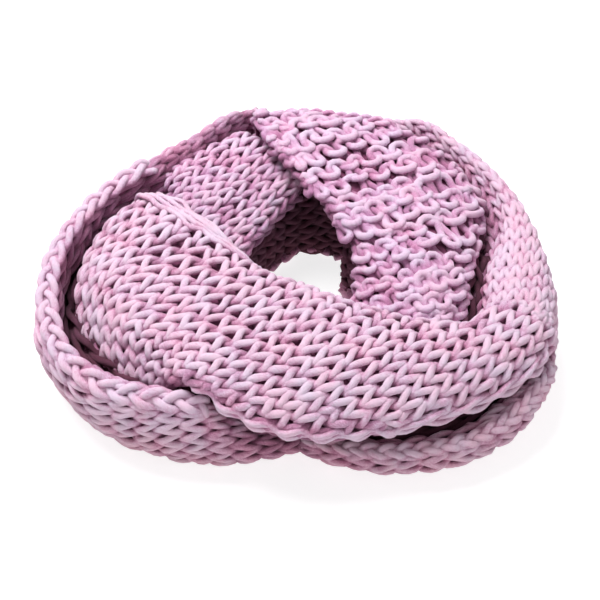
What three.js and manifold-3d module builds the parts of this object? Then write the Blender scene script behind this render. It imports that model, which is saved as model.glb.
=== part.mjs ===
// Infinity scarf in chunky knit, wound twice and laid down as a nest.
// Millimetres, +Z up. The origin is the middle of the underside, on the surface it lies on.
import * as THREE from 'three';
import Module from 'manifold-3d';

// Driving dimensions
const clothThickness = 6;
const seamGap = 0.3;

// The nest winds round an upright axis that stands a little behind the origin
const nestAxis = new THREE.Vector2(-2.37, 17.64);

// Fineness: degrees from section to section, and millimetres from point to point across one
const azimuthStep = 5.2;
const profileStep = 13;
const fewestAcross = 6;
const ringSections = 60;
const ringPoints = 12;

// Where the cloth bends tightly or rolls up on itself, its wall takes these shares of the room,
// and it thins and thickens by no more than a millimetre from point to point
const tightestBend = 0.72;
const halfRoll = 0.42;
const thinning = 1;

// How far a rounded edge stands out, as a share of the wall
const edgeRounding = 0.4;

// A row is one upright section of a stretch, at an azimuth in degrees: 0 is right, 90 back,
// 180 left and 270 front. Each R is a radius from the nest's axis and each Z a height, taken
// along the cloth's outer face, from its outer edge over the roll to its edge nearest the hole.
const faceColumns = ['azimuth', 'outerR', 'outerZ', 'bellyR', 'bellyZ', 'crownR', 'crownZ',
  'crestR', 'crestZ', 'innerR', 'innerZ'];

// The top of the nest: the stretch that crosses the front
const frontRows = named(faceColumns, [
  [160, 99, 42, 103, 54, 101, 67, 94, 74, 86, 66],
  [168, 104, 43, 110, 60, 104, 80, 94, 88, 84, 76],
  [176, 114, 46, 121, 65, 107, 86, 79, 93, 67, 77],
  [186, 131, 44, 136, 63, 113, 84, 65, 93, 53, 75],
  [198, 145, 39, 148, 57, 120, 82, 55, 91, 42, 71],
  [212, 153, 30, 154, 48, 127, 79, 52, 89, 38, 67],
  [226, 151, 28, 153, 46, 129, 78, 54, 87, 38, 61],
  [236, 144, 32, 150, 54, 127, 81, 55, 86, 38, 59],
  [242, 144, 50, 150, 66, 127, 83, 56, 86, 38, 57],
  [248, 150, 62, 154, 71, 129, 84, 58, 85, 38, 56],
  [258, 157, 51, 160, 62, 133, 82, 58, 82, 38, 54],
  [270, 160, 41, 166, 54, 137, 81, 60, 80, 40, 52],
  [284, 162, 39, 168, 53, 141, 79, 70, 79, 50, 54],
  [298, 165, 39, 171, 53, 147, 78, 94, 79, 80, 68],
  [310, 171, 41, 175, 54, 156, 75, 122, 77, 108, 66],
  [320, 176, 43, 178, 55, 165, 70, 139, 72, 126, 58],
  [332, 178, 40, 178, 53, 166, 67, 141, 69, 127, 52],
]);

// The outer side from the front right round to the back
const rightRows = named(faceColumns, [
  [332, 162, 1, 180, 34, 170, 64, 141, 69, 127, 50],
  [345, 154, 1, 171, 36, 161, 67, 132, 70, 118, 50],
  [360, 144, 1, 160, 39, 154, 71, 137, 74, 127, 58],
  [372, 136, 1, 152, 42, 150, 75, 141, 79, 134, 64],
  [385, 128, 1, 144, 43, 145, 79, 138, 84, 132, 68],
  [398, 126, 1, 140, 44, 142, 82, 135, 87, 129, 70],
  [408, 125, 1, 140, 44, 142, 84, 135, 90, 129, 76],
  [416, 120, 1, 137, 42, 138, 81, 131, 87, 126, 74],
  [428, 113, 1, 131, 40, 134, 71, 128, 77, 123, 65],
  [440, 111, 1, 130, 41, 132, 69, 126, 76, 121, 64],
  [452, 109, 1, 127, 42, 130, 74, 125, 81, 120, 69],
  [462, 107, 1, 124, 44, 128, 82, 124, 89, 119, 77],
]);

// The lowest turn, which shows under the front stretch
const lowerRows = named(faceColumns, [
  [271, 126, 1, 139, 12, 140, 19, 134, 24, 124, 19],
  [280, 138, 1, 155, 13, 155, 20, 148, 25, 136, 20],
  [290, 150, 1, 170, 14, 170, 24, 163, 29, 149, 24],
  [300, 158, 1, 180, 15, 181, 25, 174, 30, 158, 24],
  [310, 162, 1, 186, 16, 186, 27, 179, 32, 164, 26],
  [320, 164, 1, 187, 20, 187, 32, 180, 38, 166, 30],
  [332, 162, 1, 182, 24, 182, 33, 176, 38, 167, 32],
]);

// The outer side from the back round the left to the front
const leftRows = named(faceColumns, [
  [102, 107, 1, 124, 44, 128, 82, 124, 89, 119, 77],
  [112, 104, 1, 120, 44, 121, 87, 114, 94, 108, 81],
  [122, 101, 1, 116, 44, 113, 88, 105, 95, 98, 81],
  [135, 98, 1, 113, 44, 110, 86, 102, 93, 95, 79],
  [150, 103, 1, 118, 44, 115, 83, 107, 90, 100, 75],
  [165, 116, 1, 131, 42, 128, 78, 120, 85, 112, 70],
  [180, 132, 1, 149, 40, 145, 72, 136, 80, 129, 64],
  [192, 145, 1, 162, 38, 159, 66, 150, 74, 143, 58],
  [203, 154, 1, 172, 34, 169, 60, 160, 68, 153, 52],
  [215, 158, 1, 175, 30, 175, 54, 167, 62, 160, 48],
  [228, 158, 1, 175, 28, 174, 51, 164, 60, 156, 46],
  [240, 154, 1, 170, 26, 167, 51, 156, 60, 148, 46],
  [249, 148, 1, 163, 24, 159, 48, 148, 54, 140, 40],
  [260, 138, 1, 153, 18, 150, 29, 141, 34, 132, 28],
  [271, 126, 1, 139, 12, 140, 19, 134, 24, 124, 19],
]);

// The wide stretch across the right and the back, wrong side out
const purlRows = named(faceColumns, [
  [-57, 112, 26, 113, 38, 100, 50, 78, 52, 58, 40],
  [-44, 121, 32, 122, 46, 104, 60, 78, 63, 50, 50],
  [-30, 119, 38, 122, 54, 104, 70, 72, 74, 40, 58],
  [-14, 112, 44, 118, 60, 101, 74, 66, 79, 36, 68],
  [0, 113, 48, 121, 63, 106, 77, 64, 83, 27, 74],
  [14, 123, 54, 130, 67, 117, 81, 66, 87, 25, 77],
  [28, 120, 54, 128, 70, 120, 87, 66, 90, 24, 80],
  [44, 117, 54, 126, 72, 120, 90, 64, 93, 24, 83],
  [58, 112, 52, 121, 71, 118, 91, 66, 95, 25, 85],
  [74, 108, 50, 117, 68, 113, 91, 68, 98, 28, 87],
  [85, 108, 50, 117, 68, 114, 91, 72, 99, 36, 89],
  [95, 108, 50, 117, 68, 115, 92, 80, 100, 50, 92],
  [104.5, 105, 52, 113, 69, 112, 92, 90, 100, 67, 95],
]);

// The stretch between it and the front one, at the back left
const backRows = named(faceColumns, [
  [82, 88, 40, 94, 60, 86, 74, 66, 76, 54, 62],
  [94, 90, 42, 97, 64, 88, 78, 62, 78, 44, 61],
  [108, 90, 48, 98, 70, 92, 86, 64, 84, 35, 60],
  [122, 86, 50, 95, 75, 89, 90, 60, 85, 28, 60],
  [136, 84, 50, 92, 75, 86, 89, 56, 84, 25, 59],
  [148, 86, 48, 94, 71, 87, 85, 56, 82, 25, 59],
  [157, 80, 44, 86, 62, 79, 76, 54, 79, 25, 59],
  [168, 82, 36, 87, 52, 76, 66, 53, 72, 27, 58],
  [180, 86, 32, 88, 44, 76, 57, 54, 65, 28, 56],
  [192, 88, 28, 90, 38, 76, 51, 56, 58, 32, 49],
]);

// The hidden layers: from the floor at the hole up the inside, over the top and down outside
const coreColumns = ['azimuth', 'holeR', 'waistR', 'waistZ', 'brimR', 'brimZ', 'shoulderR',
  'shoulderZ', 'flankR', 'flankZ', 'footR'];

const coreRows = named(coreColumns, [
  [0, 56, 50, 32, 60, 68, 98, 66, 148, 40, 138],
  [20, 46, 44, 33, 56, 72, 104, 72, 140, 43, 125],
  [38, 42, 42, 34, 56, 76, 106, 76, 132, 44, 120],
  [45, 44, 45, 34, 60, 78, 104, 78, 131, 44, 119],
  [53, 65, 60, 34, 62, 79, 102, 80, 130, 44, 116],
  [72, 70, 66, 34, 66, 74, 98, 80, 124, 44, 106],
  [88, 69, 62, 34, 66, 62, 84, 66, 121, 44, 104],
  [102, 55, 50, 34, 54, 64, 86, 74, 118, 46, 101],
  [120, 46, 42, 34, 48, 66, 82, 78, 110, 44, 95],
  [145, 42, 38, 34, 46, 64, 80, 72, 110, 42, 94],
  [160, 42, 38, 34, 48, 56, 94, 58, 118, 42, 105],
  [170, 42, 38, 34, 50, 54, 104, 66, 130, 40, 114],
  [180, 42, 38, 34, 52, 52, 112, 68, 141, 38, 125],
  [205, 46, 42, 34, 56, 68, 112, 70, 164, 30, 149],
  [235, 50, 44, 34, 58, 70, 112, 70, 162, 26, 150],
  [250, 50, 46, 34, 62, 70, 114, 68, 150, 22, 141],
  [262, 50, 46, 34, 62, 68, 114, 66, 134, 20, 128],
  [271, 53, 48, 33, 64, 66, 116, 62, 124, 16, 119],
  [280, 57, 52, 32, 68, 60, 118, 58, 136, 16, 131],
  [290, 62, 56, 30, 74, 52, 122, 54, 148, 16, 143],
  [303, 66, 57, 30, 70, 42, 124, 46, 158, 16, 152],
  [315, 68, 58, 30, 68, 46, 128, 48, 166, 16, 157],
  [332, 68, 56, 30, 64, 56, 118, 54, 166, 26, 156],
  [345, 62, 54, 30, 62, 62, 114, 58, 160, 34, 148],
]);

// Gives each number in a table the name of its column
function named(columns, rows) {
  return rows.map((row) => Object.fromEntries(columns.map((name, i) => [name, row[i]])));
}

// Interpolates a table's rows at an azimuth, with a cubic curve through every column
function rowAt(rows, azimuth) {
  const last = rows.length - 1;
  const next = rows.findIndex((row) => row.azimuth > azimuth);
  const index = THREE.MathUtils.clamp(next < 0 ? last - 1 : next - 1, 0, last - 1);
  const slope = (a, b, name) => (rows[b][name] - rows[a][name]) / (rows[b].azimuth - rows[a].azimuth);
  const tangent = (at, name) => {
    if (at === 0 || at === last) {
      return slope(Math.max(at - 1, 0), Math.min(at + 1, last), name);
    }
    const before = rows[at].azimuth - rows[at - 1].azimuth;
    const after = rows[at + 1].azimuth - rows[at].azimuth;
    return (slope(at - 1, at, name) * after + slope(at, at + 1, name) * before) / (before + after);
  };
  const from = rows[index];
  const to = rows[index + 1];
  const span = to.azimuth - from.azimuth;
  const t = (azimuth - from.azimuth) / span;
  const blend = (name) => {
    const rise = to[name] - from[name];
    const start = tangent(index, name) * span;
    const end = tangent(index + 1, name) * span;
    return from[name] + start * t + (3 * rise - 2 * start - end) * t * t + (start + end - 2 * rise) * t ** 3;
  };
  return Object.fromEntries(Object.keys(from).map((name) => [name, blend(name)]));
}

// A smooth profile through corners given as radius and height, with evenly spaced points
function profile(corners, count) {
  const curve = new THREE.CatmullRomCurve3(corners.map(([r, z]) => new THREE.Vector3(r, z, 0)),
    false, 'centripetal');
  return curve.getSpacedPoints(count).map((point) => new THREE.Vector2(point.x, point.y));
}

// The outer face of one section of cloth
function facePoints(row, count) {
  return profile([[row.outerR, row.outerZ], [row.bellyR, row.bellyZ], [row.crownR, row.crownZ],
    [row.crestR, row.crestZ], [row.innerR, row.innerZ]], count);
}

// Unit vectors that point out of the cloth's outer face, and how tightly it bends there
function faceFrames(points) {
  return points.map((point, i) => {
    const before = points[Math.max(i - 1, 0)];
    const after = points[Math.min(i + 1, points.length - 1)];
    const along = after.clone().sub(before);
    const stride = along.length() / 2;
    along.normalize();
    const turnIn = point.clone().sub(before).normalize();
    const turnOut = after.clone().sub(point).normalize();
    const bend = Math.max(0, turnIn.cross(turnOut));
    return { out: new THREE.Vector2(along.y, -along.x), radius: bend > 0 ? stride / bend : Infinity };
  });
}

// One closed section of cloth: the outer face, a round edge, the inner face and the other edge
function clothSection(row, count, grow) {
  const face = facePoints(row, count);
  const frames = faceFrames(face);
  const room = frames.map((frame, i) => {
    const facing = face.filter((point, j) => frames[j].out.dot(frame.out) < 0);
    const nearest = Math.min(...facing.map((point) => point.distanceTo(face[i])));
    return Math.min(clothThickness, tightestBend * frame.radius, halfRoll * nearest);
  });
  const last = face.length - 1;
  const depths = room.map((depth, i) => Math.min(depth, room[Math.max(i - 1, 0)] + thinning,
    room[Math.min(i + 1, last)] + thinning));
  const outer = face.map((point, i) => point.clone().addScaledVector(frames[i].out, grow));
  const inner = face.map((point, i) => point.clone().addScaledVector(frames[i].out, -depths[i] - grow));
  const edge = (i, sign) => {
    const along = new THREE.Vector2(-frames[i].out.y, frames[i].out.x);
    const middle = outer[i].clone().lerp(inner[i], 0.5);
    return middle.addScaledVector(along, sign * (depths[i] * edgeRounding + grow));
  };
  const firstEdge = edge(0, -1);
  const lastEdge = edge(last, 1);
  return [...outer, lastEdge, ...inner.reverse(), firstEdge];
}

// Puts a section's point at its azimuth round the nest's axis, no lower than the floor given
function placed(point, azimuth, floor = 0) {
  const angle = THREE.MathUtils.degToRad(azimuth);
  return [nestAxis.x + point.x * Math.cos(angle), nestAxis.y + point.x * Math.sin(angle),
    Math.max(point.y, floor)];
}

// How many steps a stretch's face takes across
function stepsAcross(row) {
  const points = facePoints(row, ringPoints);
  const length = points.reduce((sum, point, i) => sum + (i ? point.distanceTo(points[i - 1]) : 0), 0);
  return Math.max(fewestAcross, Math.round(length / profileStep));
}

// A closed wall of cloth through all its sections; grow adds to it all round
function clothWall(rows, grow = 0) {
  const first = rows[0].azimuth;
  const last = rows[rows.length - 1].azimuth;
  const along = Math.round((last - first) / azimuthStep);
  const across = stepsAcross(rowAt(rows, (first + last) / 2));
  const positions = [];
  for (let i = 0; i <= along; i += 1) {
    const azimuth = first + (last - first) * i / along;
    const row = rowAt(rows, azimuth);
    const endwards = Number(i === along) - Number(i === 0);
    const shift = THREE.MathUtils.radToDeg((grow - seamGap / 2) / row.crownR) * endwards;
    for (const point of clothSection(row, across, grow)) {
      positions.push(...placed(point, azimuth + shift, -grow));
    }
  }
  const size = 2 * (across + 2);
  const index = [];
  for (let i = 0; i < along; i += 1) {
    for (let j = 0; j < size; j += 1) {
      const a = i * size + j;
      const b = i * size + (j + 1) % size;
      index.push(a, a + size, b, b, a + size, b + size);
    }
  }
  for (const start of [0, along * size]) {
    const cap = (a, b, c) => index.push(...(start ? [start + a, start + c, start + b] : [a, b, c]));
    for (let j = 0; j < across; j += 1) {
      const back = size - 2 - j;
      cap(j, j + 1, back);
      cap(j + 1, back - 1, back);
    }
    cap(across, across + 1, across + 2);
    cap(0, size - 2, size - 1);
  }
  return { positions, index };
}

// The closed ring of hidden layers, flat underneath
function hiddenRing() {
  const turned = (row, turn) => ({ ...row, azimuth: row.azimuth + turn });
  const rows = [turned(coreRows[coreRows.length - 1], -360), ...coreRows,
    turned(coreRows[0], 360), turned(coreRows[1], 360)];
  const positions = [];
  for (let i = 0; i < ringSections; i += 1) {
    const azimuth = 360 * i / ringSections;
    const row = rowAt(rows, azimuth);
    const corners = [[row.holeR, 0], [row.waistR, row.waistZ], [row.brimR, row.brimZ],
      [row.shoulderR, row.shoulderZ], [row.flankR, row.flankZ], [row.footR, 0]];
    for (const point of profile(corners, ringPoints)) {
      positions.push(...placed(point, azimuth));
    }
  }
  const size = ringPoints + 1;
  const index = [];
  for (let i = 0; i < ringSections; i += 1) {
    const next = (i + 1) % ringSections;
    for (let j = 0; j < size; j += 1) {
      const k = (j + 1) % size;
      index.push(i * size + j, i * size + k, next * size + j);
      index.push(i * size + k, next * size + k, next * size + j);
    }
  }
  return { positions, index };
}

const manifold = await Module();
manifold.setup();

function solidOf({ positions, index }) {
  return new manifold.Manifold(new manifold.Mesh({
    numProp: 3, vertProperties: new Float32Array(positions), triVerts: new Uint32Array(index),
  }));
}

function knit(name, solid, color) {
  const { vertProperties, triVerts } = solid.getMesh();
  const geometry = new THREE.BufferGeometry();
  geometry.setAttribute('position', new THREE.BufferAttribute(new Float32Array(vertProperties), 3));
  geometry.setIndex(new THREE.BufferAttribute(new Uint32Array(triVerts), 1));
  geometry.computeVertexNormals();
  const mesh = new THREE.Mesh(geometry,
    new THREE.MeshStandardMaterial({ color, roughness: 0.9, metalness: 0 }));
  mesh.name = name;
  return mesh;
}

// Every stretch that shows
const stretches = [
  { name: 'front_stretch', rows: frontRows, color: 0xe3b4d2 },
  { name: 'right_stretch', rows: rightRows, color: 0xe6bdd6 },
  { name: 'lower_front_stretch', rows: lowerRows, color: 0xd29fbd },
  { name: 'left_stretch', rows: leftRows, color: 0xe0b2ce },
  { name: 'purl_stretch', rows: purlRows, color: 0xdfaed2 },
  { name: 'back_stretch', rows: backRows, color: 0xd7a0cc },
];

// The hidden layers fill the room under the stretches, less a seam gap
const group = new THREE.Group();
let ring = solidOf(hiddenRing());
for (const { name, rows, color } of stretches) {
  group.add(knit(name, solidOf(clothWall(rows)), color));
  ring = ring.subtract(solidOf(clothWall(rows, seamGap)));
}
group.add(knit('hidden_layers', ring, 0xb97fa3));

export default group;
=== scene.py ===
import math
import bpy
import numpy as np
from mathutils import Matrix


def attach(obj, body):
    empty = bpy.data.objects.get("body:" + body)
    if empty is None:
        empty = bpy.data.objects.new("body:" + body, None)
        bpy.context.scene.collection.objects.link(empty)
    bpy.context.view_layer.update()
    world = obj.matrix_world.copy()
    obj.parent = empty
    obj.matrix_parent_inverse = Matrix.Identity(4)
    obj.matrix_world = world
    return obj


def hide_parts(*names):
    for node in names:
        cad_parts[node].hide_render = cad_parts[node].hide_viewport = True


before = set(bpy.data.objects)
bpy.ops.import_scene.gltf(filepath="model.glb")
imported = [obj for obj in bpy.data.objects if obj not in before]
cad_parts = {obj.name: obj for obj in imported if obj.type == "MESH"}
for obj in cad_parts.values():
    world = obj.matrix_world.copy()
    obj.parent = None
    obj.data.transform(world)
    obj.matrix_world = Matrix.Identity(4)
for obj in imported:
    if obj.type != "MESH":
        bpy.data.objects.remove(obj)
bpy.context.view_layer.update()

MM = 0.001
YARN = 2.25            # yarn radius, mm
RELIEF = 1.9           # how far the loops rise and fall about their middle, mm
LOOP_REACH = 0.74      # half a loop's height, in courses
LOOP_SPREAD = 0.27     # how far a loop's legs slant, in wales
SIDES = 12             # sides of a yarn's round section
INNER_SIDES = 6        # the same for the yarns deep inside
UNDER_SIDES = 8        # and for those of the underside
PLIES = 3
PLY_RISE = 0.055       # how far the plies stand out, as a share of the yarn radius
TWIST = 15.0           # length of one turn of the plies, mm
POINTS = 18            # points along one loop
LEAST_POINTS = 6       # shorter bits of yarn are left out
MOST_STITCHES = 70     # more courses or wales than any stretch has
MOST_MISS = 0.06       # how far off its place a point of a loop may be, in stitches
OFF_TABLE = 0.2        # least space between a yarn and the table, mm
BACKING = 7.0          # depth of the inner face under the outer face, mm
NEST = np.array([-2.37, 17.64])  # the nest's upright axis, mm
FACING = 0.28          # how far cloth faces the view for its stitches to be measured there
FAINT = 0.15           # how much stitches count that are carried on beyond that
STEP_RANGE = (7.0, 16.5)  # shortest and longest step from stitch to stitch, mm
MARK_REACH = 25        # how far one mark holds before the others count, pixels
CORE_STEPS = (14, 12)  # steps along and across the hidden layers, mm
OUTER_SHADE = 0.5      # how strong the shade is at a stretch's outer edge
INNER_SHADE = 0.9      # the same at its inner edge


# Sections of every stretch, in millimetres round the nest's upright axis: azimuth, then radius and
# height at the outer edge, belly, crown, crest and inner edge of the cloth's outer face
FRONT = np.array([
    [160, 99, 42, 103, 54, 101, 67, 94, 74, 86, 66],
    [168, 104, 43, 110, 60, 104, 80, 94, 88, 84, 76],
    [176, 114, 46, 121, 65, 107, 86, 79, 93, 67, 77],
    [186, 128, 44, 132, 63, 113, 84, 65, 93, 53, 75],
    [198, 140, 39, 142, 57, 120, 82, 55, 91, 42, 71],
    [212, 147, 30, 148, 48, 127, 79, 52, 89, 38, 67],
    [226, 146, 28, 148, 46, 129, 78, 54, 87, 38, 61],
    [236, 141, 32, 147, 54, 127, 81, 55, 86, 38, 59],
    [242, 144, 50, 150, 66, 127, 83, 56, 86, 38, 57],
    [248, 150, 62, 154, 71, 129, 84, 58, 85, 38, 56],
    [258, 157, 51, 160, 62, 133, 82, 58, 82, 38, 54],
    [270, 160, 41, 166, 54, 137, 81, 60, 80, 40, 52],
    [284, 162, 39, 168, 53, 141, 79, 70, 79, 50, 54],
    [298, 165, 39, 171, 53, 147, 78, 94, 79, 80, 68],
    [310, 171, 41, 175, 54, 156, 75, 122, 77, 108, 66],
    [320, 176, 43, 178, 55, 165, 70, 139, 72, 126, 58],
    [332, 178, 40, 178, 53, 166, 67, 141, 69, 127, 52]], float)

RIGHT = np.array([
    [332, 162, 1, 180, 34, 170, 64, 141, 69, 127, 50],
    [345, 154, 1, 171, 36, 161, 67, 132, 70, 118, 50],
    [360, 144, 1, 160, 39, 154, 71, 137, 74, 127, 58],
    [372, 136, 1, 152, 42, 150, 75, 141, 79, 134, 64],
    [385, 128, 1, 144, 43, 145, 79, 138, 84, 132, 68],
    [398, 126, 1, 140, 44, 142, 82, 135, 87, 129, 70],
    [408, 125, 1, 140, 44, 142, 84, 135, 90, 129, 76],
    [416, 120, 1, 137, 42, 138, 81, 131, 87, 126, 74],
    [428, 113, 1, 131, 40, 134, 71, 128, 77, 123, 65],
    [440, 111, 1, 130, 41, 132, 69, 126, 76, 121, 64],
    [452, 109, 1, 127, 42, 130, 74, 125, 81, 120, 69],
    [462, 107, 1, 124, 44, 128, 82, 124, 89, 119, 77]], float)

LOWER = np.array([
    [271, 126, 1, 139, 12, 140, 19, 134, 24, 124, 19],
    [280, 138, 1, 155, 13, 155, 20, 148, 25, 136, 20],
    [290, 150, 1, 170, 14, 170, 24, 163, 29, 149, 24],
    [300, 158, 1, 180, 15, 181, 25, 174, 30, 158, 24],
    [310, 162, 1, 186, 16, 186, 27, 179, 32, 164, 26],
    [320, 164, 1, 187, 20, 187, 32, 180, 38, 166, 30],
    [332, 162, 1, 182, 24, 182, 33, 176, 38, 167, 32]], float)

LEFT = np.array([
    [102, 107, 1, 124, 44, 128, 82, 124, 89, 119, 77],
    [112, 104, 1, 120, 44, 121, 87, 114, 94, 108, 81],
    [122, 101, 1, 116, 44, 113, 88, 105, 95, 98, 81],
    [135, 98, 1, 113, 44, 110, 86, 102, 93, 95, 79],
    [150, 103, 1, 118, 44, 115, 83, 107, 90, 100, 75],
    [165, 116, 1, 131, 42, 128, 78, 120, 85, 112, 70],
    [180, 132, 1, 149, 40, 145, 72, 136, 80, 129, 64],
    [192, 145, 1, 162, 38, 159, 66, 150, 74, 143, 58],
    [203, 154, 1, 172, 34, 169, 60, 160, 68, 153, 52],
    [215, 158, 1, 175, 30, 175, 54, 167, 62, 160, 48],
    [228, 158, 1, 175, 28, 174, 51, 164, 60, 156, 46],
    [240, 154, 1, 170, 26, 167, 51, 156, 60, 148, 46],
    [249, 148, 1, 163, 24, 159, 48, 148, 54, 140, 40],
    [260, 138, 1, 153, 18, 150, 29, 141, 34, 132, 28],
    [271, 126, 1, 139, 12, 140, 19, 134, 24, 124, 19]], float)

PURL = np.array([
    [-57, 112, 26, 113, 38, 100, 50, 78, 52, 58, 40],
    [-44, 121, 32, 122, 46, 104, 60, 78, 63, 50, 50],
    [-30, 119, 38, 122, 54, 104, 70, 72, 74, 40, 58],
    [-14, 112, 44, 118, 60, 101, 74, 66, 79, 36, 68],
    [0, 113, 48, 121, 63, 106, 77, 64, 83, 27, 74],
    [14, 123, 54, 130, 67, 117, 81, 66, 87, 25, 77],
    [28, 120, 54, 128, 70, 120, 87, 66, 90, 24, 80],
    [44, 117, 54, 126, 72, 120, 90, 64, 93, 24, 83],
    [58, 112, 52, 121, 71, 118, 91, 66, 95, 25, 85],
    [74, 108, 50, 117, 68, 113, 91, 68, 98, 28, 87],
    [85, 108, 50, 117, 68, 114, 91, 72, 99, 36, 89],
    [95, 108, 50, 117, 68, 115, 92, 80, 100, 50, 92],
    [104.5, 105, 52, 113, 69, 112, 92, 90, 100, 67, 95]], float)

BACK = np.array([
    [82, 88, 40, 94, 60, 86, 74, 66, 76, 54, 62],
    [94, 96, 60, 99, 72, 89, 80, 62, 78, 44, 61],
    [108, 104, 82, 99, 86, 91, 88, 64, 84, 35, 60],
    [122, 99, 85, 94, 88, 86, 90, 60, 85, 28, 60],
    [136, 97, 84, 91, 87, 83, 89, 56, 84, 25, 59],
    [148, 99, 78, 93, 82, 85, 85, 56, 82, 25, 59],
    [157, 92, 64, 90, 72, 80, 79, 54, 79, 25, 59],
    [168, 82, 36, 87, 52, 76, 66, 53, 72, 27, 58],
    [180, 86, 32, 88, 44, 76, 57, 54, 65, 28, 56],
    [192, 88, 28, 90, 38, 76, 51, 56, 58, 32, 49]], float)

# The hidden layers: azimuth, radius at the floor by the hole, waist, brim, shoulder and flank as
# radius and height, and radius at the outer foot
CORE = np.array([
    [0, 56, 50, 32, 60, 68, 98, 66, 148, 40, 138],
    [20, 46, 44, 33, 56, 72, 104, 72, 140, 43, 125],
    [38, 42, 42, 34, 56, 76, 106, 76, 132, 44, 120],
    [45, 44, 45, 34, 60, 78, 104, 78, 131, 44, 119],
    [53, 65, 60, 34, 62, 79, 102, 80, 130, 44, 116],
    [72, 70, 66, 34, 66, 74, 98, 80, 124, 44, 106],
    [88, 69, 62, 34, 66, 62, 84, 66, 121, 44, 104],
    [102, 55, 50, 34, 54, 64, 86, 74, 118, 46, 101],
    [120, 46, 42, 34, 48, 66, 82, 78, 110, 44, 95],
    [145, 42, 38, 34, 46, 64, 80, 72, 110, 42, 94],
    [160, 42, 38, 34, 48, 56, 94, 58, 118, 42, 105],
    [170, 42, 38, 34, 50, 54, 104, 66, 130, 40, 114],
    [180, 42, 38, 34, 52, 52, 112, 68, 141, 38, 125],
    [205, 46, 42, 34, 56, 68, 112, 70, 164, 30, 149],
    [235, 50, 44, 34, 58, 70, 112, 70, 162, 26, 150],
    [250, 50, 46, 34, 62, 70, 114, 68, 150, 22, 141],
    [262, 50, 46, 34, 62, 68, 114, 66, 134, 20, 128],
    [271, 53, 48, 33, 64, 66, 116, 62, 124, 16, 119],
    [280, 57, 52, 32, 68, 60, 118, 58, 136, 16, 131],
    [290, 62, 56, 30, 74, 52, 122, 54, 148, 16, 143],
    [303, 66, 57, 30, 70, 42, 124, 46, 158, 16, 152],
    [315, 68, 58, 30, 68, 46, 128, 48, 166, 16, 157],
    [332, 68, 56, 30, 64, 56, 118, 54, 166, 26, 156],
    [345, 62, 54, 30, 62, 62, 114, 58, 160, 34, 148]], float)


def hermite(rows, azimuths):
    """A table's columns at any azimuth, by a cubic curve through each column."""
    t = rows[:, 0]
    y = rows[:, 1:]
    rise = (y[1:] - y[:-1]) / (t[1:] - t[:-1])[:, None]
    before = (t[1:-1] - t[:-2])[:, None]
    after = (t[2:] - t[1:-1])[:, None]
    slopes = np.vstack([rise[:1], (rise[:-1] * after + rise[1:] * before) / (before + after), rise[-1:]])
    at = np.clip(np.searchsorted(t, azimuths, side="right") - 1, 0, len(t) - 2)
    span = (t[at + 1] - t[at])[:, None]
    u = (np.asarray(azimuths, float) - t[at])[:, None] / span
    gain = y[at + 1] - y[at]
    start = slopes[at] * span
    end = slopes[at + 1] * span
    return y[at] + start * u + (3 * gain - 2 * start - end) * u ** 2 + (start + end - 2 * gain) * u ** 3


def profile(corners, count):
    """Evenly spaced points on a smooth curve through a section's corners."""
    ends = np.vstack([2 * corners[0] - corners[1], corners, 2 * corners[-1] - corners[-2]])
    u = np.linspace(0, 1, 24, endpoint=False)[:, None]
    pieces = []
    for p0, p1, p2, p3 in zip(ends[:-3], ends[1:-2], ends[2:-1], ends[3:]):
        t0, t1, t2 = (max(np.linalg.norm(b - a) ** 0.5, 1e-4) for a, b in ((p0, p1), (p1, p2), (p2, p3)))
        m1 = ((p1 - p0) / t0 - (p2 - p0) / (t0 + t1) + (p2 - p1) / t1) * t1
        m2 = ((p2 - p1) / t1 - (p3 - p1) / (t1 + t2) + (p3 - p2) / t2) * t1
        pieces.append(p1 + m1 * u + (3 * (p2 - p1) - 2 * m1 - m2) * u ** 2 + (2 * (p1 - p2) + m1 + m2) * u ** 3)
    dense = np.vstack(pieces + [corners[-1:]])
    along = np.r_[0, np.cumsum(np.linalg.norm(np.diff(dense, axis=0), axis=1))]
    s = np.linspace(0, along[-1], count)
    return np.column_stack([np.interp(s, along, dense[:, 0]), np.interp(s, along, dense[:, 1])])


def placed(section, azimuth):
    """The points of a section, given as radius and height, at its azimuth."""
    return np.column_stack([NEST[0] + section[:, 0] * math.cos(azimuth),
                            NEST[1] + section[:, 0] * math.sin(azimuth), section[:, 1]])


def surface(rows, azimuths, count, tuck_out=None, tuck_in=None):
    """A grid of points on a stretch's outer face: one row per azimuth, from its outer to its inner edge."""
    grid = np.zeros((len(azimuths), count, 3))
    for i, (row, azimuth) in enumerate(zip(hermite(rows, azimuths), np.radians(azimuths))):
        corners = row.reshape(-1, 2)
        if tuck_out:
            corners = np.vstack([corners[0] + tuck_out, corners])
        if tuck_in:
            corners = np.vstack([corners, corners[-1] + tuck_in])
        grid[i] = placed(profile(corners, count), azimuth)
    return grid


def core_surface(azimuths, count, underside=False):
    """The outer face of the hidden layers, from the floor outside over the top to the floor at the hole, or
    their underside from the hole out to the foot."""
    before, after = CORE[-2:].copy(), CORE[:2].copy()
    before[:, 0] -= 360
    after[:, 0] += 360
    rows = np.vstack([before, CORE, after])
    grid = np.zeros((len(azimuths), count, 3))
    for i, (row, azimuth) in enumerate(zip(hermite(rows, azimuths), np.radians(azimuths))):
        hole, waist_r, waist_z, brim_r, brim_z, shoulder_r, shoulder_z, flank_r, flank_z, foot = row
        corners = np.array([[foot, 0], [flank_r, flank_z], [shoulder_r, shoulder_z], [brim_r, brim_z],
                            [waist_r, waist_z], [hole, 0]])
        section = profile(corners, count)
        if underside:
            section = np.column_stack([np.linspace(hole - 1, foot + 1, count), np.zeros(count)])
        grid[i] = placed(section, azimuth)
    return grid


def unit(v):
    return v / np.maximum(np.linalg.norm(v, axis=-1, keepdims=True), 1e-9)


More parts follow.
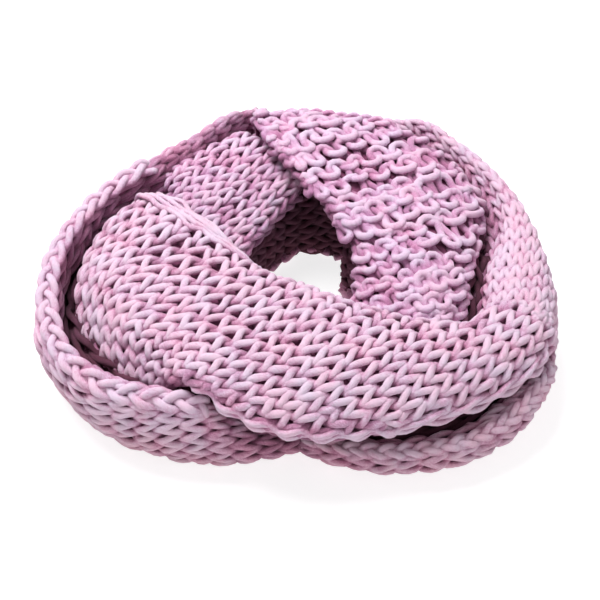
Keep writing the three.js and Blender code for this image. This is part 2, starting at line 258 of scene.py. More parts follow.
def normals(grid):
    """Outward unit normals of a grid."""
    return unit(np.cross(np.gradient(grid, axis=0), np.gradient(grid, axis=1)))


def padded(grid):
    """The grid with one more row and column all round, carried on straight."""
    grid = np.concatenate([2 * grid[:1] - grid[1:2], grid, 2 * grid[-1:] - grid[-2:-1]], axis=0)
    return np.concatenate([2 * grid[:, :1] - grid[:, 1:2], grid, 2 * grid[:, -1:] - grid[:, -2:-1]], axis=1)


def sample(wide, u, v):
    """Smooth values between the points of a padded grid; u and v count its inner rows and columns."""
    n, m = wide.shape[0] - 2, wide.shape[1] - 2
    i = np.clip(np.floor(u).astype(int), 0, n - 2)
    j = np.clip(np.floor(v).astype(int), 0, m - 2)

    def weights(f):
        return [((2 - f) * f - 1) * f / 2, ((3 * f - 5) * f * f + 2) / 2, ((4 - 3 * f) * f + 1) * f / 2,
                (f - 1) * f * f / 2]

    wu, wv = weights(u - i), weights(v - j)
    return sum((wu[a] * wv[b])[:, None] * wide[i + a, j + b] for a in range(4) for b in range(4))


# The view of the photograph, as pixels of a 600 x 600 image: where the object is seen from and turned
VIEW_FROM = np.array([0, -837.8, 691.4])
VIEW_TILT = math.radians(38)
VIEW_SCALE = 100 / 36 * 600
VIEW_CENTRE = np.array([297, 292])
VIEW_RIGHT = np.array([1.0, 0, 0])
VIEW_UP = np.array([0, math.sin(VIEW_TILT), math.cos(VIEW_TILT)])
VIEW_AHEAD = np.array([0, math.cos(VIEW_TILT), -math.sin(VIEW_TILT)])


def seen(points):
    """Image places of points."""
    off = points - VIEW_FROM
    deep = off @ VIEW_AHEAD
    return np.stack([VIEW_CENTRE[0] + VIEW_SCALE * (off @ VIEW_RIGHT) / deep,
                     VIEW_CENTRE[1] - VIEW_SCALE * (off @ VIEW_UP) / deep], axis=-1)


def stitch_field(grid, marks):
    """Stitch vectors in the surface at every grid point, from how far apart the stitches look at a few places.

    A mark is an image place, the knitting direction and the step to the next wale there, all in pixels."""
    marks = np.array(marks, float)
    along, across = unit(np.gradient(grid, axis=0)), unit(np.gradient(grid, axis=1))
    here = seen(grid)
    one, two = seen(grid + along) - here, seen(grid + across) - here
    far = ((here[:, :, None] - marks[None, None, :, :2]) ** 2).sum(3)
    share = 1 / (far + MARK_REACH ** 2) ** 1.5
    share /= share.sum(2, keepdims=True)
    wanted = share @ marks[:, 2:]
    aa, ab, bb = (one * one).sum(2) + 0.12, (one * two).sum(2), (two * two).sum(2) + 0.12
    det = aa * bb - ab * ab
    parts = []
    for k in (0, 2):
        da = (one * wanted[..., k:k + 2]).sum(2)
        db = (two * wanted[..., k:k + 2]).sum(2)
        x, y = (da * bb - db * ab) / det, (db * aa - da * ab) / det
        size = np.hypot(x, y)
        fit = np.clip(size, STEP_RANGE[0], STEP_RANGE[1]) / np.maximum(size, 1e-6)
        parts += [x * fit, y * fit]
    # where the cloth faces away, the stitches carry on as they are in the nearest cloth that is seen
    facing = -(normals(grid) @ VIEW_AHEAD)
    plain = facing > FACING
    flat = grid.reshape(-1, 3)
    near = ((flat[:, None] - flat[None, plain.ravel()]) ** 2).sum(2)
    share = 1 / (near + 4 ** 2) ** 2
    share /= share.sum(1, keepdims=True)
    parts = [np.where(plain, x, (share @ x[plain]).reshape(x.shape)) for x in parts]
    return parts, np.where(plain, facing, FAINT)


def lattice(grid, parts, trust):
    """Counts of courses and wales at every point of a grid, for stitch vectors along and across it."""
    n, m = grid.shape[:2]
    a0, a1, b0, b1 = parts
    det = a0 * b1 - a1 * b0
    slopes = {"q": (b1 / det, -b0 / det), "p": (-a1 / det, a0 / det)}
    number = np.arange(n * m).reshape(n, m)
    along = np.linalg.norm(np.diff(grid, axis=0), axis=2)
    across = np.linalg.norm(np.diff(grid, axis=1), axis=2)
    found = []
    for key in ("p", "q"):
        matrix = np.zeros((n * m, n * m))
        right = np.zeros(n * m)
        for (one, two, length, slope, faith) in (
                (number[:-1], number[1:], along, (slopes[key][0][:-1] + slopes[key][0][1:]) / 2,
                 (trust[:-1] + trust[1:]) / 2),
                (number[:, :-1], number[:, 1:], across, (slopes[key][1][:, :-1] + slopes[key][1][:, 1:]) / 2,
                 (trust[:, :-1] + trust[:, 1:]) / 2)):
            one, two, length, slope, faith = (x.ravel() for x in (one, two, length, slope, faith))
            weight = faith / np.maximum(length, 0.5)
            step = slope * length
            np.add.at(matrix, (one, one), weight)
            np.add.at(matrix, (two, two), weight)
            np.add.at(matrix, (one, two), -weight)
            np.add.at(matrix, (two, one), -weight)
            np.add.at(right, one, -weight * step)
            np.add.at(right, two, weight * step)
        matrix[0, 0] += 1
        found.append(np.linalg.solve(matrix, right).reshape(n, m))
    return np.stack(found, axis=2)


def invert(counts, wanted):
    """Where on the grid the counts have the wanted values, as rows and columns."""
    n, m = counts.shape[:2]
    flat = counts.reshape(-1, 2)
    wide = padded(counts)
    start = np.zeros(len(wanted), int)
    for a in range(0, len(wanted), 4000):
        d = ((wanted[a:a + 4000, None] - flat[None]) ** 2).sum(2)
        start[a:a + 4000] = d.argmin(1)
    place = np.column_stack([start // m, start % m]).astype(float)
    e = 0.02
    for _ in range(10):
        u, v = place.T
        here = sample(wide, u, v)
        du = (sample(wide, u + e, v) - sample(wide, u - e, v)) / (2 * e)
        dv = (sample(wide, u, v + e) - sample(wide, u, v - e)) / (2 * e)
        det = du[:, 0] * dv[:, 1] - du[:, 1] * dv[:, 0]
        det = np.where(np.abs(det) < 1e-6, 1e-6, det)
        miss = wanted - here
        step = np.column_stack([(miss[:, 0] * dv[:, 1] - miss[:, 1] * dv[:, 0]) / det,
                                (miss[:, 1] * du[:, 0] - miss[:, 0] * du[:, 1]) / det])
        place = place + np.clip(step, -2, 2)
        place[:, 0] = np.clip(place[:, 0], 0, n - 1)
        place[:, 1] = np.clip(place[:, 1], 0, m - 1)
    u, v = place.T
    miss = np.abs(wanted - sample(wide, u, v)).max(1)
    return place, miss


def smooth_noise(seed, count, u, v):
    """Soft random numbers from -1 to 1 over two counts, a few at once."""
    table = np.random.default_rng(seed).uniform(-1, 1, (64, 64, count))
    i, j = np.floor(u).astype(int), np.floor(v).astype(int)
    fu, fv = u - i, v - j
    fu, fv = (3 - 2 * fu) * fu * fu, (3 - 2 * fv) * fv * fv
    near = lambda a, b: table[(i + a) % 64, (j + b) % 64]
    mix = lambda a, b, f: a + (b - a) * f[:, None]
    return mix(mix(near(0, 0), near(1, 0), fu), mix(near(0, 1), near(1, 1), fu), fv)


def tubes(runs, sides=SIDES):
    """One mesh of round yarns along runs, each of them points, outward directions, radii and painted shade.

    The painted shade grows from pale to dark: most on a yarn's lower side, less on its plies. The spun vectors
    run round and along the yarn, for its fibres."""
    places, faces, painted_shades, spun = [], [], [], []
    base = 0
    ring = np.arange(sides) * (2 * math.pi / sides)
    k = np.arange(sides)
    for points, outward, radii, painted_shade in runs:
        flow = unit(np.gradient(points, axis=0))
        side = unit(np.cross(flow, outward))
        rise = unit(np.cross(side, flow))
        n = len(points)
        length = np.r_[0, np.cumsum(np.linalg.norm(np.diff(points, axis=0), axis=1))]
        turned = ring[None, :] + (2 * math.pi / TWIST) * length[:, None]
        ply = np.cos(PLIES * turned)
        far = np.broadcast_to(length[:, None] * 0.13 + len(places) * 3.7, turned.shape)
        spun.append(np.stack([far, np.cos(turned), np.sin(turned)], axis=2).reshape(-1, 3))
        swell = (radii[:, None] * (1 + PLY_RISE * ply))[:, :, None]
        wide = 1.06 * swell * np.cos(ring)[None, :, None] * side[:, None, :]
        high = 0.97 * swell * np.sin(ring)[None, :, None] * rise[:, None, :]
        places.append((points[:, None, :] + wide + high).reshape(-1, 3))
        # painted shade: darker on each yarn's lower side and in the grooves between its plies
        lower_side = 1 - np.sin(ring)[None, :]
        painted_shades.append((0.62 * painted_shade[:, None] + 0.20 * lower_side - 0.05 * ply - 0.04).reshape(-1))
        a = base + np.arange(n - 1)[:, None] * sides
        quads = np.stack([a + k, a + sides + k, a + sides + (k + 1) % sides, a + (k + 1) % sides], axis=2)
        faces += quads.reshape(-1, 4).tolist()
        faces.append(list(range(base, base + sides)))
        faces.append(list(range(base + n * sides - 1, base + (n - 1) * sides - 1, -1)))
        base += n * sides
    return np.vstack(places), faces, np.concatenate(painted_shades), np.vstack(spun)


def add_mesh(name, places, faces, material, painted_shade=None, spun=None):
    """A smooth piece of the scene, from places in millimetres."""
    mesh = bpy.data.meshes.new(name)
    mesh.from_pydata((np.asarray(places) * MM).tolist(), [], faces)
    mesh.validate()
    mesh.polygons.foreach_set("use_smooth", [True] * len(mesh.polygons))
    if painted_shade is not None:
        layer = mesh.attributes.new("painted_shade", "FLOAT", "POINT")
        layer.data.foreach_set("value", np.clip(painted_shade, 0, 1))
        layer = mesh.attributes.new("spun", "FLOAT_VECTOR", "POINT")
        layer.data.foreach_set("vector", spun.ravel())
    mesh.materials.append(material)
    mesh.update()
    piece = bpy.data.objects.new(name, mesh)
    bpy.context.scene.collection.objects.link(piece)
    return piece


def shell(name, grid, depth, material, closed=False, past_crest=1.0):
    """The inner face of the cloth under the loops, dark with painted shade. Past the crest it keeps that share
    of the depth.
    """
    n, m = grid.shape[:2]
    kept = np.interp(np.linspace(0, 1, m), [0.70, 0.84], [1, past_crest])
    under = grid - normals(grid) * depth * kept[None, :, None]
    under[..., 2] = np.maximum(under[..., 2], 0.6)
    number = np.arange(n * m).reshape(n, m)
    if closed:
        number = np.vstack([number, number[:1]])
    quads = np.stack([number[:-1, :-1], number[1:, :-1], number[1:, 1:], number[:-1, 1:]], axis=2)
    return add_mesh(name, under.reshape(-1, 3), quads.reshape(-1, 4).tolist(), material)


def knit_runs(grid, counts, seed, knit=True, relief=RELIEF, yarn=YARN, shade=None, uneven=1.0, heads=0.0,
              reach=LOOP_REACH, spread=LOOP_SPREAD):
    """Yarn runs of a knitted face: every course is one yarn that loops through the course before it.

    The knit or the purl side shows. uneven says how irregular the loops are, heads how far they stand up."""
    n, m = grid.shape[:2]
    if np.ptp(counts, axis=(0, 1)).max() > MOST_STITCHES:
        raise ValueError("the stitches run wild here")
    wide_grid, wide_face = padded(grid), padded(normals(grid))
    p_low, p_high = int(math.floor(counts[..., 0].min())), int(math.ceil(counts[..., 0].max()))
    q_low, q_high = int(math.floor(counts[..., 1].min())), int(math.ceil(counts[..., 1].max()))
    t = np.arange(0, (p_high - p_low) * POINTS + 1) * (2 * math.pi / POINTS)
    runs = []
    courses = np.arange(q_low - 1, q_high + 2)
    walk, course = np.meshgrid(t, courses)
    walk, course = walk.ravel(), course.ravel().astype(float)
    wale = p_low + walk / (2 * math.pi)
    drift = smooth_noise(seed, 2, wale * 0.45 + 7, course * 0.45 + 3) * 0.17 * uneven
    drift = drift + smooth_noise(seed + 3, 2, wale * 1.9 + 2, course * 1.3 + 9) * 0.055 * uneven
    odd = smooth_noise(seed + 1, 4, wale + 11, course + 5)
    reach = reach * (1 + 0.13 * uneven * odd[:, 0])
    spread = spread * (1 + 0.18 * uneven * odd[:, 1])
    p = wale + spread * np.sin(2 * walk) + drift[:, 0]
    q = course + reach * np.cos(walk) + drift[:, 1]
    place, miss = invert(counts, np.column_stack([p, q]))
    good = miss < MOST_MISS
    u, v = place.T
    point = sample(wide_grid, u, v)
    face = unit(sample(wide_face, u, v))
    swing = np.cos(2 * walk)
    swing = (swing * 1.25 - 0.25 * swing ** 3) * relief * (1 + 0.12 * odd[:, 2])
    lift = -swing if knit else swing
    lift = lift - relief - yarn + 0.7 * uneven * odd[:, 3] + heads * np.cos(walk)
    centre = point + face * lift[:, None]
    centre[:, 2] = np.maximum(centre[:, 2], yarn + OFF_TABLE)
    radii = yarn * (1 + 0.11 * smooth_noise(seed + 2, 1, wale * 2.3, course * 1.7)[:, 0])
    # painted shade: loops that lie deeper are painted darker, for the shade down among them
    painted_shade = np.clip((-lift - yarn) / (2 * relief + 0.6), 0, 1)
    if shade is not None:
        # the shaded spots of the view darken only what is turned to it
        seen_face = np.clip(0.3 - 3 * (face @ VIEW_AHEAD), 0, 1)
        painted_shade = painted_shade + shade(u / (n - 1), v / (m - 1)) + spot_shade(centre) * seen_face
    per_course = len(t)
    for c in range(len(courses)):
        rows = slice(c * per_course, (c + 1) * per_course)
        ok = good[rows]
        edges = np.flatnonzero(np.diff(np.r_[0, ok.astype(int), 0]))
        for a, b in zip(edges[::2], edges[1::2]):
            if b - a >= LEAST_POINTS:
                pick = slice(rows.start + a, rows.start + b)
                runs.append((centre[pick], face[pick], radii[pick], painted_shade[pick]))
    return runs


def rim(rows, tucks, azimuths, places, width, pitch, yarn, strands=3, plaited=True, lift=0.8, phase=0.0,
        stray=0.5, narrow=1.0):
    """Strands along an edge of a stretch, plaited or side by side.

    places says how far across the stretch they run, from its outer to its inner edge, at even steps from the
    first azimuth to the last. stray is how far they wander, narrow the share of the width left at the end."""
    count = 200
    along = np.linspace(azimuths[0], azimuths[1], count)
    grid = surface(rows, along, 41, *tucks)
    column = np.interp(np.linspace(0, 1, count), np.linspace(0, 1, len(places)), places) * 40
    spot = np.arange(count, dtype=float)
    middle = sample(padded(grid), spot, column)
    face = unit(sample(padded(normals(grid)), spot, column))
    length = np.r_[0, np.cumsum(np.linalg.norm(np.diff(middle, axis=0), axis=1))]
    steps = np.linspace(0, length[-1], max(int(length[-1] / 1.9), 8))
    middle = np.column_stack([np.interp(steps, length, middle[:, k]) for k in range(3)])
    face = unit(np.column_stack([np.interp(steps, length, face[:, k]) for k in range(3)]))
    side = unit(np.cross(np.gradient(middle, axis=0), face))
    runs = []
    for k in range(strands):
        wave = 2 * math.pi * (steps / pitch + k / strands) + phase
        wobble = smooth_noise(300 + k, 2, steps / 9 + k * 5, steps * 0 + k)
        if plaited:
            across, up = width / 2 * np.sin(wave), 0.9 * yarn * np.sin(2 * wave)
        else:
            across = (k - (strands - 1) / 2) * width / max(strands - 1, 1) + 0.8 * np.sin(wave)
            up = 0.5 * np.cos(wave)
        across = across * (1 + (narrow - 1) * steps / steps[-1])
        centre = middle + side * (across + stray * wobble[:, 0])[:, None]
        centre += face * (up + lift - yarn + 0.35 * wobble[:, 1])[:, None]
        centre[:, 2] = np.maximum(centre[:, 2], yarn + OFF_TABLE)
        radii = yarn * (1 + 0.09 * wobble[:, 0])
        taper = np.clip(np.minimum(steps, steps[-1] - steps) / 8, 0, 1)
        centre -= face * (6 * (1 - taper) ** 2)[:, None]
        # painted shade: the strands are darker where they dip under each other
        painted_shade = np.clip(0.12 - 0.25 * up / yarn, 0, 1)
        runs.append((centre, face, radii, painted_shade))
    return runs


def edge_shade(across, outer, inner, outer_share, inner_share):
    """How much darker cloth is where it curls out of sight: strengths at its edges, and how far they reach."""
    return (outer * np.clip(1.35 - across / (outer_share + 0.02), 0, 1)
            + inner * np.clip(1.35 - (1 - across) / (inner_share + 0.02), 0, 1))


# Places in the photograph's view where the cloth lies deeper in its own shade: place, reach each way, amount
SPOTS = np.array([
    [483, 262, 9, 12, 0.55], [479, 288, 8, 16, 0.8], [473, 318, 9, 16, 0.8], [425, 135, 34, 8, 0.22],
    [470, 165, 14, 26, 0.20], [285, 140, 14, 20, 0.18], [258, 142, 20, 12, 0.18], [178, 378, 26, 9, 0.22],
    [126, 208, 16, 8, 0.4], [102, 228, 9, 12, 0.4], [350, 432, 120, 13, 0.36], [272, 440, 40, 14, 0.38],
    [400, 295, 40, 16, 0.16], [66, 295, 5, 22, 0.5], [69, 325, 6, 16, 0.6], [80, 345, 8, 12, 0.6],
    [98, 365, 12, 8, 0.6], [304, 222, 20, 24, 0.6], [95, 346, 4, 5, 1.2], [115, 370, 4, 3, 1.2]], float)


def spot_shade(points):
    """How much darker points are by the shaded spots."""
    here = seen(points)
    total = np.zeros(len(points))
    for x, y, wide, high, amount in SPOTS:
        total += amount * np.exp(-((here[:, 0] - x) / wide) ** 2 - ((here[:, 1] - y) / high) ** 2)
    return total


def new_material(name):
    material = bpy.data.materials.new(name)
    material.use_nodes = True
    nodes, links = material.node_tree.nodes, material.node_tree.links
    return material, nodes, links, nodes["Principled BSDF"]


def ramp(nodes, stops):
    node = nodes.new("ShaderNodeValToRGB")
    points = node.color_ramp.elements
    while len(points) < len(stops):
        points.new(0.5)
    for point, (place, colour) in zip(points, stops):
        point.position = place
        point.color = (*colour, 1)
    return node


def yarn_material(name, stops, sheen=0.35):
    """Soft spun yarn in its pale colour, with painted shade that turns it plum between the loops' crowns;
    mottled, with a fibrous surface.
    """
    material, nodes, links, shader = new_material(name)
    place = nodes.new("ShaderNodeTexCoord")
    painted_shade = nodes.new("ShaderNodeAttribute")
    painted_shade.attribute_name = "painted_shade"
    patches = nodes.new("ShaderNodeTexNoise")
    patches.inputs["Scale"].default_value = 95
    patches.inputs["Detail"].default_value = 3
    links.new(place.outputs["Object"], patches.inputs["Vector"])
    fibres = nodes.new("ShaderNodeTexNoise")
    fibres.inputs["Scale"].default_value = 4.2
    fibres.inputs["Detail"].default_value = 5
    fibres.inputs["Roughness"].default_value = 0.75
    spun = nodes.new("ShaderNodeAttribute")
    spun.attribute_name = "spun"
    links.new(spun.outputs["Vector"], fibres.inputs["Vector"])
    # painted shade, moved a little by the fibres and the patches
    moved = nodes.new("ShaderNodeMath")
    moved.operation = "MULTIPLY_ADD"
    moved.inputs[1].default_value = 0.6
    links.new(patches.outputs["Fac"], moved.inputs[0])
    links.new(painted_shade.outputs["Fac"], moved.inputs[2])
    again = nodes.new("ShaderNodeMath")
    again.operation = "MULTIPLY_ADD"
    again.inputs[1].default_value = 1.0
    links.new(fibres.outputs["Fac"], again.inputs[0])
    links.new(moved.outputs[0], again.inputs[2])
    less = nodes.new("ShaderNodeMath")
    less.operation = "SUBTRACT"
    less.inputs[1].default_value = 0.82
    links.new(again.outputs[0], less.inputs[0])
    colours = ramp(nodes, stops)
    links.new(less.outputs[0], colours.inputs["Fac"])
    # cool and warm patches
    cool = nodes.new("ShaderNodeTexNoise")
    cool.inputs["Scale"].default_value = 60
    cool.inputs["Detail"].default_value = 4
    links.new(place.outputs["Object"], cool.inputs["Vector"])
    tint = ramp(nodes, [(0.36, (0.93, 0.96, 1.0)), (0.64, (1.0, 0.87, 0.92))])
    links.new(cool.outputs["Fac"], tint.inputs["Fac"])
    mix = nodes.new("ShaderNodeMix")
    mix.data_type = "RGBA"
    mix.blend_type = "MULTIPLY"
    mix.inputs["Factor"].default_value = 1.0
    links.new(colours.outputs["Color"], mix.inputs[6])
    links.new(tint.outputs["Color"], mix.inputs[7])
    # painted shade: browner and darker towards the table
    height = nodes.new("ShaderNodeSeparateXYZ")
    links.new(place.outputs["Object"], height.inputs["Vector"])
    scaled = nodes.new("ShaderNodeMath")
    scaled.operation = "MULTIPLY"
    scaled.inputs[1].default_value = 14
    links.new(height.outputs["Z"], scaled.inputs[0])
    painted_low_shade = ramp(nodes, [(0.05, (0.86, 0.74, 0.70)), (0.72, (1.0, 1.0, 1.0))])
    links.new(scaled.outputs[0], painted_low_shade.inputs["Fac"])
    low = nodes.new("ShaderNodeMix")
    low.data_type = "RGBA"
    low.blend_type = "MULTIPLY"
    low.inputs["Factor"].default_value = 1.0
    links.new(mix.outputs[2], low.inputs[6])
    links.new(painted_low_shade.outputs["Color"], low.inputs[7])
    links.new(low.outputs[2], shader.inputs["Base Color"])
    bump = nodes.new("ShaderNodeBump")
    bump.inputs["Strength"].default_value = 0.9
    bump.inputs["Distance"].default_value = 0.0012
    links.new(fibres.outputs["Fac"], bump.inputs["Height"])
    links.new(bump.outputs["Normal"], shader.inputs["Normal"])
    shader.inputs["Roughness"].default_value = 0.92
    shader.inputs["Specular IOR Level"].default_value = 0.18
    shader.inputs["Sheen Weight"].default_value = sheen
    shader.inputs["Sheen Roughness"].default_value = 0.55
    shader.inputs["Sheen Tint"].default_value = (1.0, 0.85, 0.95, 1)
    return material


def shade_backing_material(name, dark, pale):
    """Painted shade: the shaded inside of the cloth between the loops, as a dark sheet."""
    material, nodes, links, shader = new_material(name)
    place = nodes.new("ShaderNodeTexCoord")
    noise = nodes.new("ShaderNodeTexNoise")
    noise.inputs["Scale"].default_value = 260
    noise.inputs["Detail"].default_value = 4
    links.new(place.outputs["Object"], noise.inputs["Vector"])
    colours = ramp(nodes, [(0.35, dark), (0.7, pale)])
    links.new(noise.outputs["Fac"], colours.inputs["Fac"])
    links.new(colours.outputs["Color"], shader.inputs["Base Color"])
    bump = nodes.new("ShaderNodeBump")
    bump.inputs["Strength"].default_value = 0.6
    bump.inputs["Distance"].default_value = 0.001
    links.new(noise.outputs["Fac"], bump.inputs["Height"])
    links.new(bump.outputs["Normal"], shader.inputs["Normal"])
    shader.inputs["Roughness"].default_value = 0.95
    shader.inputs["Specular IOR Level"].default_value = 0.1
    return material


# The ramps run from the yarn's own pale colour into painted shade: their darker stops are painted shade between
# and under the loops
knit_yarn = yarn_material("yarn_face", [
    (0.0, (0.86, 0.66, 0.79)), (0.16, (0.76, 0.46, 0.63)), (0.36, (0.55, 0.235, 0.385)),
    (0.62, (0.30, 0.095, 0.19)), (1.0, (0.15, 0.04, 0.09))])
purl_yarn = yarn_material("yarn_purl", [
    (0.0, (0.85, 0.64, 0.80)), (0.16, (0.75, 0.43, 0.635)), (0.4, (0.56, 0.235, 0.42)),
    (0.7, (0.33, 0.11, 0.23)), (1.0, (0.17, 0.046, 0.11))])
# painted shade: the yarn of the layers deep inside, dark throughout
shaded_inner_yarn = yarn_material("yarn_inner_shaded", [
    (0.0, (0.15, 0.052, 0.09)), (0.4, (0.095, 0.03, 0.052)), (0.8, (0.045, 0.012, 0.022)),
    (1.0, (0.03, 0.008, 0.014))], sheen=0.04)
# painted shade: dark sheets under the loops, for the shaded inside of the cloth; the pale one where that shade
# is lighter
deep_shade_backing = shade_backing_material("cloth_deep", (0.05, 0.013, 0.024), (0.13, 0.042, 0.075))
shade_backing = shade_backing_material("cloth_inside", (0.13, 0.034, 0.078), (0.27, 0.09, 0.17))
pale_shade_backing = shade_backing_material("cloth_inside_pale", (0.30, 0.11, 0.21), (0.44, 0.20, 0.33))

# Per stretch: its table, how its edges curl under (radius, height), whether its knit side shows, and
# marks as image place, knitting direction, step to the next wale
STRETCHES = {
    "front": (FRONT, (-9, -2), (2, -9), True, [
        [150, 290, -23, 7, 16, 14.5], [205, 330, -21, 9, 17, 14.5], [78, 300, 0, 18, 14, -3],
        [95, 360, 8, 16, 13, -6], [100, 235, -12, 15, 12, 8], [300, 360, -19, 10, 17, 14.5],
        [420, 390, -20, 16, 17, 14.5], [500, 370, -16, 20, 18, 8]]),
    "right": (RIGHT, (-8, 0.4), (-11, -9), True, [
        [440, 140, 8, 9, -11, 8], [490, 185, 6, 11, -12, 6], [530, 260, -2, 13, -13, 2],
        [545, 330, -5, 12, -12, 0]]),
    "lower_front": (LOWER, (-8, 0.4), (2, -7), True, [
        [220, 450, -27, -2, 3, 14], [320, 460, -27, 0, 0, 14], [450, 455, -26, 6, -2, 14]]),
    "left": (LEFT, (-8, 0.4), (2, -9), True, [
        [120, 420, -24, -1, 5, 14], [170, 440, -25, 6, 4, 14], [220, 450, -25, 6, 4, 14],
        [60, 350, -10, -24, -13, 4], [60, 260, 8, -24, -12, -6], [130, 180, 22, -14, -6, -12],
        [200, 135, 13, -8, -5, -9]]),
    "purl": (PURL, (-9, -2), (2, -9), False, [
        [400, 200, 12, 15, 20, -7], [430, 250, 11, 16, 20, -7], [330, 150, 12, 15, 20, -7],
        [435, 300, 5, 20, 19, -5]]),
    "back": (BACK, (12, -8), (2, -12), True, [[235, 195, -13, 10, 12, 9.5]]),
}
# What differs from stretch to stretch in the yarn
STYLES = {
    "right": dict(yarn=2.0, relief=1.3, uneven=0.8),
    "purl": dict(yarn=2.3, relief=1.6, uneven=2.3, heads=0.7, reach=0.86, spread=0.26),
    "back": dict(yarn=1.95, relief=1.7, uneven=1.3),
    "left": dict(yarn=2.0, uneven=1.2, relief=2.1, spread=0.29),
    "lower_front": dict(yarn=2.0, uneven=1.2, relief=2.1, spread=0.29),
}
SIDES_OF = {"right": 10}
# Plaited and corded edges: azimuths, how far across, width, pitch
RIMS = {
    "left": [dict(azimuths=(150, 252), places=(0.80, 0.77, 0.75, 0.73, 0.66, 0.70), width=9.5, pitch=42,
                  yarn=2.3)],
    "lower_front": [dict(azimuths=(272, 331), places=(0.66, 0.66), width=6.0, pitch=32, yarn=2.0)],
    "front": [dict(azimuths=(167, 241), places=(0.69, 0.77, 0.82), width=13, pitch=34, yarn=1.75, lift=0.7,
                   plaited=False, strands=4, stray=1.6, narrow=0.6),
              dict(azimuths=(247, 296), places=(0.06, 0.11, 0.10), width=5.5, pitch=40, yarn=1.9, strands=2,
                   lift=0.8),
              dict(azimuths=(288, 329), places=(0.12, 0.14, 0.16), width=9.0, pitch=75, yarn=1.9, strands=3,
                   lift=0.8)],
    "purl": [dict(azimuths=(52, 103), places=(0.34, 0.34), width=7.0, pitch=26, yarn=1.9)],
}
# How much darker a stretch is along its length: shares of the length and amounts there
SHADES = {"left": ((0, 0.3, 0.80, 1.0), (-0.3, 0, 0, 0.38)), "lower_front": ((0.1, 0.6), (0.30, 0.07)),
          "purl": ((0, 1), (-0.12, -0.12)), "right": ((0, 1), (-0.06, -0.06)), "back": ((0, 1), (0.05, 0.05))}
NO_SHADE = ((0, 1), (0, 0))
# Where a stretch carries on past the ends of its table, in degrees
CARRIED_ON = {"lower_front": (3, 0), "left": (0, 4), "front": (0, 3)}
# Where the shade of an edge is stronger than usual, or reaches another share of the width than its tuck
STRONG_OUTER = {"front": 0.8}
OUTER_SHARE = {"front": 0.10}
INNER_SHARE = {"left": 0.23}
# How much of its depth the inner face keeps past the crest, in the thin folds
PAST_CREST = {"left": 0.5, "right": 0.5}
# Stretches whose inner face gets lighter painted shade
BACKINGS = {"right": pale_shade_backing, "back": pale_shade_backing}
YARNS = {"purl": purl_yarn, "back": purl_yarn}

made = {}
for index, (name, (rows, tuck_out, tuck_in, knit, marks)) in enumerate(STRETCHES.items()):
    before, after = CARRIED_ON.get(name, (0, 0))
    start, end = rows[0, 0] - before, rows[-1, 0] + after
    azimuths = np.linspace(start, end, int((end - start) / 3.2) + 2)
    grid = surface(rows, azimuths, 19, tuck_out, tuck_in)
    counts = lattice(grid, *stitch_field(grid, marks))
    width = np.linalg.norm(np.diff(grid, axis=1), axis=2).sum(1).mean()
    strengths = STRONG_OUTER.get(name, OUTER_SHADE), INNER_SHADE
    shares = (OUTER_SHARE.get(name, math.hypot(*tuck_out) / width),
              INNER_SHARE.get(name, math.hypot(*tuck_in) / width))
    shade = lambda along, across: (edge_shade(across, *strengths, *shares)
                                   + np.interp(along, *SHADES.get(name, NO_SHADE)))
    runs = knit_runs(grid, counts, 40 + 7 * index, knit, shade=shade, **STYLES.get(name, {}))
    for line in RIMS.get(name, []):
        runs += rim(rows, (tuck_out, tuck_in), **line)
    places, faces, painted_shade, spun = tubes(runs, SIDES_OF.get(name, SIDES))
    yarn = add_mesh(name + "_yarn", places, faces, YARNS.get(name, knit_yarn), painted_shade, spun)
    azimuths = np.linspace(start, end, int((end - start) / 2.4) + 2)
    fine = surface(rows, azimuths, 40, (tuck_out[0] / 2, tuck_out[1] / 2), (tuck_in[0] / 2, tuck_in[1] / 2))
    cloth = shell(name + "_cloth", fine, BACKING, BACKINGS.get(name, shade_backing),
                  past_crest=PAST_CREST.get(name, 1.0))
    made[name] = (cloth, yarn)


def core_counts(grid):
    """Counts of courses and wales over the hidden layers, at even steps."""
    even = np.ones(grid.shape[:2])
    return lattice(grid, [CORE_STEPS[0] * even, 0 * even, 0 * even, CORE_STEPS[1] * even], even)


azimuths = np.linspace(0, 360, 120)
grid = core_surface(azimuths, 25)
runs = knit_runs(grid, core_counts(grid), 99, shade=lambda along, across: 0)
places, faces, painted_shade, spun = tubes(runs, INNER_SIDES)
yarn = add_mesh("hidden_yarn", places, faces, shaded_inner_yarn, painted_shade, spun)
fine = core_surface(np.linspace(0, 360, 151)[:-1], 50)
made["hidden"] = (shell("hidden_cloth", fine, BACKING, deep_shade_backing, closed=True), yarn)
grid = core_surface(azimuths, 13, underside=True)
places, faces, painted_shade, spun = tubes(knit_runs(grid, core_counts(grid), 131), UNDER_SIDES)
under = add_mesh("underside_yarn", places, faces, purl_yarn, painted_shade, spun)

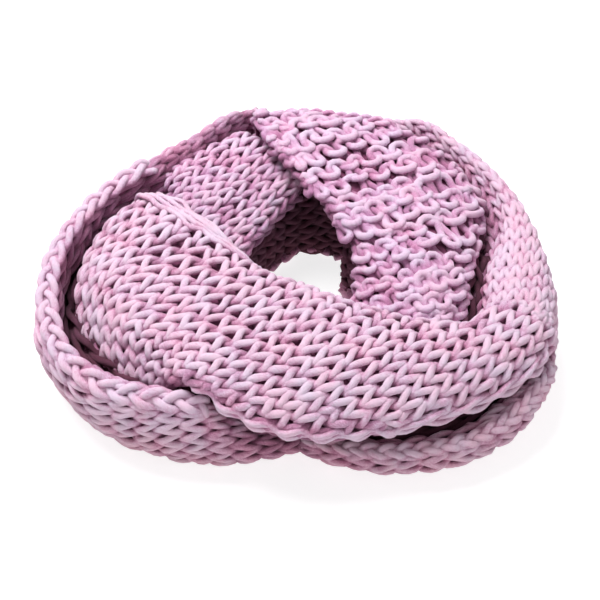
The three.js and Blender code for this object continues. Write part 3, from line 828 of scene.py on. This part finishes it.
NODES = {name: name + "_stretch" for name in STRETCHES} | {"hidden": "hidden_layers"}
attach(under, "root")
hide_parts("hidden_layers")
for name, (cloth, yarn) in made.items():
    for piece in (cloth, yarn):
        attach(piece, "root")
        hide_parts(NODES[name])

# Floor, light and camera
mesh = bpy.data.meshes.new("floor")
mesh.from_pydata([(-4, -4, 0), (4, -4, 0), (4, 4, 0), (-4, 4, 0)], [], [(0, 1, 2, 3)])
floor = bpy.data.objects.new("floor", mesh)
bpy.context.scene.collection.objects.link(floor)
material, nodes, links, shader = new_material("floor_white")
shader.inputs["Base Color"].default_value = (0.38, 0.38, 0.382, 1)
shader.inputs["Emission Color"].default_value = (1, 1, 1, 1)
shader.inputs["Emission Strength"].default_value = 0.78
shader.inputs["Roughness"].default_value = 0.9
shader.inputs["Specular IOR Level"].default_value = 0.05
mesh.materials.append(material)

world = bpy.data.worlds.new("studio")
bpy.context.scene.world = world
world.use_nodes = True
world.node_tree.nodes["Background"].inputs["Color"].default_value = (1.0, 0.99, 1.0, 1)
world.node_tree.nodes["Background"].inputs["Strength"].default_value = 0.38


def area_light(name, place, aim, size, power, colour=(1, 1, 1)):
    data = bpy.data.lights.new(name, "AREA")
    data.shape = "DISK"
    data.size = size
    data.energy = power
    data.color = colour
    light = bpy.data.objects.new(name, data)
    light.location = place
    toward = np.array(aim, float) - np.array(place, float)
    light.rotation_euler = (math.atan2(math.hypot(toward[0], toward[1]), -toward[2]), 0,
                            math.atan2(toward[1], toward[0]) - math.pi / 2)
    bpy.context.scene.collection.objects.link(light)


area_light("key", (-0.45, 0.25, 1.5), (0, 0, 0.05), 1.0, 34)
area_light("fill", (0.4, -1.2, 1.2), (0, 0, 0.05), 1.2, 4)
bpy.context.scene.view_settings.view_transform = "Standard"

data = bpy.data.cameras.new("camera")
data.lens = 100
data.sensor_width = 36
data.clip_start = 0.05
data.shift_x = 0.005
data.shift_y = -0.0133
camera = bpy.data.objects.new("camera", data)
camera.location = (0, -0.8378, 0.6914)
camera.rotation_euler = (math.radians(52), 0, 0)
bpy.context.scene.collection.objects.link(camera)
bpy.context.scene.camera = camera
